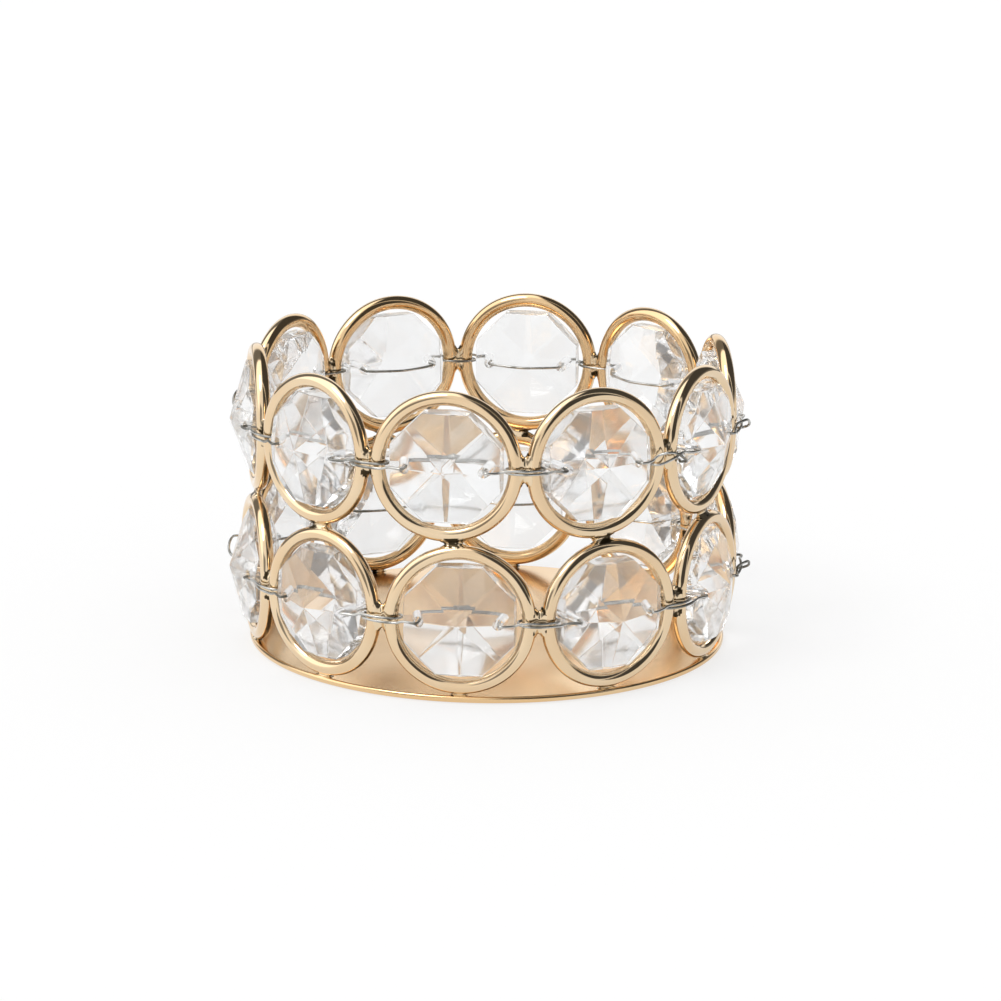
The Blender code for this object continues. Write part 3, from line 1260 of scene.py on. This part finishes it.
    def _threading(self, seat: Seat) -> list[Vector]:
        """The way through one bead: in at its left hole, across its back and out at its right.

        Args:
            seat: The bead's seat.

        Returns:
            The way's points.
        """
        hole = self.beads.hole_spacing / 2
        shoulder = self.beads.width / 2
        over = self.bead_clearance + self.wire / 2
        height = self.beads.height
        mouth = height(hole)
        half_way = [
            Vector((-shoulder, -height(shoulder) - over, 0)),
            Vector((-hole - self.mouth_bend, -mouth - over, 0)),
            Vector((-hole, -mouth + self.mouth_bend, 0)),
            Vector((-hole, mouth, 0)),
            Vector((-hole + self.mouth_bend, height(hole - self.mouth_bend) + over, 0)),
            Vector((-self.apex_bend, height(self.apex_bend) + over, 0)),
        ]
        rest = [Vector((-point.x, point.y, point.z)) for point in reversed(half_way)]
        return [seat.frame @ point for point in half_way + rest]


def smoothed(points: Sequence[Vector], steps: int) -> list[Vector]:
    """Rounds a route's corners without leaving its points.

    Args:
        points: The route.
        steps: How many short stretches take the place of each long one.

    Returns:
        Points along a centripetal spline through the route.
    """
    padded = [points[0], *points, points[-1]]
    smooth = []
    for around in zip(padded, padded[1:], padded[2:], padded[3:]):
        for step in range(steps):
            smooth.append(spline_point(around, step / steps))
    smooth.append(points[-1].copy())
    return smooth


def spline_point(around: Sequence[Vector], share: float) -> Vector:
    """A point on a centripetal spline through four points.

    Args:
        around: The four points.
        share: How far the point lies from the second of them, at 0, to the third, at 1.

    Returns:
        The point.
    """
    knots = [0.0]
    for first, second in zip(around, around[1:]):
        knots.append(knots[-1] + max((second - first).length, SHORTEST_STRETCH) ** CENTRIPETAL)
    place = knots[1] + share * (knots[2] - knots[1])
    points = list(around)
    for spans in SPLINE_SPANS:
        blended = []
        for first, second, (low, high) in zip(points, points[1:], spans):
            blended.append(first.lerp(second, (place - knots[low]) / (knots[high] - knots[low])))
        points = blended
    return points[0]


@dataclass(frozen=True)
class Zone:
    """A part of the surround, each of its bounds a pair of values between which it fades in.

    A falling pair, such as (0.1, -0.1), fades in downwards. A second pair is where the zone fades out.
    """

    level: float
    glass_level: float
    right: tuple[float, ...] = ()
    up: tuple[float, ...] = ()
    back: tuple[float, ...] = ()

    def mask(self, graph: Graph, direction: Signal) -> Signal | float:
        """Where the zone is.

        Args:
            graph: The world's node tree.
            direction: The direction that the world is seen in.

        Returns:
            1 within the zone and 0 outside it.
        """
        inside = 1.0
        for axis, bounds in (("X", self.right), ("Z", self.up), ("Y", self.back)):
            if bounds:
                inside = graph.step(graph.part(direction, axis), *bounds[:2]) * inside
            if bounds[2:]:
                inside = (1 - graph.step(graph.part(direction, axis), *bounds[2:])) * inside
        return inside


@dataclass(frozen=True)
class Studio:
    """A pale floor in a white surround, with a bright side to the left and a dark one to the right.

    Rays that only bounced off metal see the zones at full strength. Rays that came through glass see them
    softened, and the camera and matt surfaces see plain white.
    """

    floor_size: float = 6.0
    floor_drop: float = 0.0001
    floor_grey: Colour = (0.86, 0.86, 0.86, 1.0)
    floor_glow: float = 0.7
    floor_fade: Span = (-0.07, 0.07)
    surround_left: float = 1.03
    surround_right: float = 0.85
    surround_fade: Span = (-0.8, 0.8)
    zones: tuple[Zone, ...] = (
        Zone(level=1.6, glass_level=1.1, right=(0.1, -0.04), up=(0.1, 0.24), back=(-0.5, -0.38)),
        Zone(
            level=0.28, glass_level=1.0, right=(-0.28, -0.36), up=(-0.08, 0.02, 0.36, 0.46),
            back=(-0.93, -0.88, -0.6, -0.52),
        ),
        Zone(level=0.18, glass_level=1.0, up=(-0.1, 0.0), back=(0.3, 0.4)),
        Zone(
            level=0.06, glass_level=0.8, right=(0.02, 0.1), up=(-0.14, -0.04),
            back=(-0.98, -0.95, -0.47, -0.43),
        ),
        Zone(level=0.06, glass_level=0.8, right=(0.04, 0.14), up=(0.1, 0.2), back=(-0.39, -0.35)),
        Zone(level=1.1, glass_level=1.0, up=(0.02, 0.12), back=(0.74, 0.84)),
    )
    backdrop: float = 1.0
    sun_strength: float = 0.7
    sun_softness: float = 25.0
    sun_direction: tuple[float, float, float] = (-0.45, -0.35, 0.85)

    def build(self) -> None:
        """Makes the floor, the world and the sun."""
        self._make_floor()
        self._make_world()
        self._make_sun()
        bpy.context.scene.view_settings.view_transform = "Standard"

    def _make_floor(self) -> None:
        """Makes the floor, whose own light for the camera leaves the holder's shadow on it."""
        shape = bmesh.new()
        bmesh.ops.create_grid(shape, x_segments=1, y_segments=1, size=self.floor_size / 2)
        mesh = finished_mesh(shape, "studio_floor", smooth=False)
        material = new_material("pale_floor", self._floor_shader)
        floor = place_piece("studio_floor", mesh, material, Matrix.Translation((0, 0, -self.floor_drop)))

    def _floor_shader(self, graph: Graph) -> Signal:
        """Adds the floor's nodes: matt to light it, with some glow of its own where it is seen.

        Args:
            graph: The material's node tree.

        Returns:
            The floor's shader.
        """
        right = graph.step(graph.part(graph.coordinates(), "X"), *self.floor_fade)
        mirrored = graph.ray(Ray.GLOSSY) * (1 - graph.ray(Ray.TRANSMISSION))
        level = between(self.backdrop, between(self.surround_left, self.surround_right, right), mirrored)
        seen = graph.ray(Ray.CAMERA).or_more(graph.ray(Ray.GLOSSY))
        matt = graph.node("ShaderNodeBsdfDiffuse", {}, {"Color": self.floor_grey})
        glow = graph.node("ShaderNodeEmission", {}, {"Color": level})
        return graph.node("ShaderNodeMixShader", {}, {0: seen * self.floor_glow, 1: matt, 2: glow})

    def _make_world(self) -> None:
        """Makes the surround, which the camera sees as plain white."""
        world = bpy.data.worlds.new("studio_surround")
        world.use_nodes = True
        bpy.context.scene.world = world
        graph = Graph(world.node_tree)
        direction = graph.coordinates("Generated")
        glass = graph.ray(Ray.TRANSMISSION)
        right = graph.step(graph.part(direction, "X"), *self.surround_fade)
        level = between(between(self.surround_left, self.surround_right, right), self.backdrop, glass)
        for zone in self.zones:
            zone_level = between(zone.level, zone.glass_level, glass)
            level = between(level, zone_level, zone.mask(graph, direction))
        level = between(self.backdrop, level, graph.ray(Ray.GLOSSY))
        shader = graph.node("ShaderNodeBackground", {}, {"Color": level})
        graph.finish("ShaderNodeOutputWorld", shader)

    def _make_sun(self) -> None:
        """Makes the soft sun above the camera's left, which casts the shadow on the floor."""
        data = bpy.data.lights.new("soft_sun", "SUN")
        data.energy = self.sun_strength
        data.angle = math.radians(self.sun_softness)
        data.specular_factor = 0.0
        sun = bpy.data.objects.new("soft_sun", data)
        bpy.context.scene.collection.objects.link(sun)
        towards = -Vector(self.sun_direction)
        sun.rotation_mode = "QUATERNION"
        sun.rotation_quaternion = towards.to_track_quat("-Z", "Y")


@dataclass(frozen=True)
class PhotoCamera:
    """The camera at the photograph's own place, fitted to the rings' joints in the photograph."""

    distance: float = 0.5
    focal_pixels: float = 4047.7
    frame_pixels: float = 1001.0
    sensor: float = 36.0
    nearest: float = 0.01
    farthest: float = 20.0
    elevation: float = 14.61
    roll: float = 0.67
    aim: tuple[float, float, float] = (1.52 * MM, 0.0, 17.07 * MM)

    def build(self) -> None:
        """Makes the camera and gives it to the scene."""
        data = bpy.data.cameras.new("photo_camera")
        data.sensor_width = self.sensor
        data.lens = self.focal_pixels / self.frame_pixels * self.sensor
        data.clip_start = self.nearest
        data.clip_end = self.farthest
        camera = bpy.data.objects.new("photo_camera", data)
        bpy.context.scene.collection.objects.link(camera)
        rise, roll = math.radians(self.elevation), math.radians(self.roll)
        back = Vector((0, -math.cos(rise), math.sin(rise)))
        right, up = Vector((1, 0, 0)), Vector((0, math.sin(rise), math.cos(rise)))
        rolled_right = math.cos(roll) * right + math.sin(roll) * up
        rolled_up = math.cos(roll) * up - math.sin(roll) * right
        turn = Matrix((rolled_right, rolled_up, back)).transposed().to_4x4()
        camera.matrix_world = Matrix.Translation(Vector(self.aim) + self.distance * back) @ turn
        bpy.context.scene.camera = camera
        LOG.info("camera: %.0f mm lens at %.0f mm", data.lens, self.distance / MM)


def main() -> None:
    """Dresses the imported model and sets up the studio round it."""
    logging.basicConfig(level=logging.INFO, format="%(message)s")
    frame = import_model()
    PhotoCamera().build()
    plans = {}
    for name, loose in LOOSE_LASHINGS.items():
        plans[name] = RowPlan.from_joints(name, frame["joints"], loose)
    plate = BasePlate.from_frame()
    plate.build()
    lattice = RingLattice(plans, plate)
    lattice.build()
    beads = CrystalBeads(plans)
    beads.build()
    BindingWires(plans, beads, lattice.ring).build()
    Studio().build()


if __name__ == "__main__":
    main()
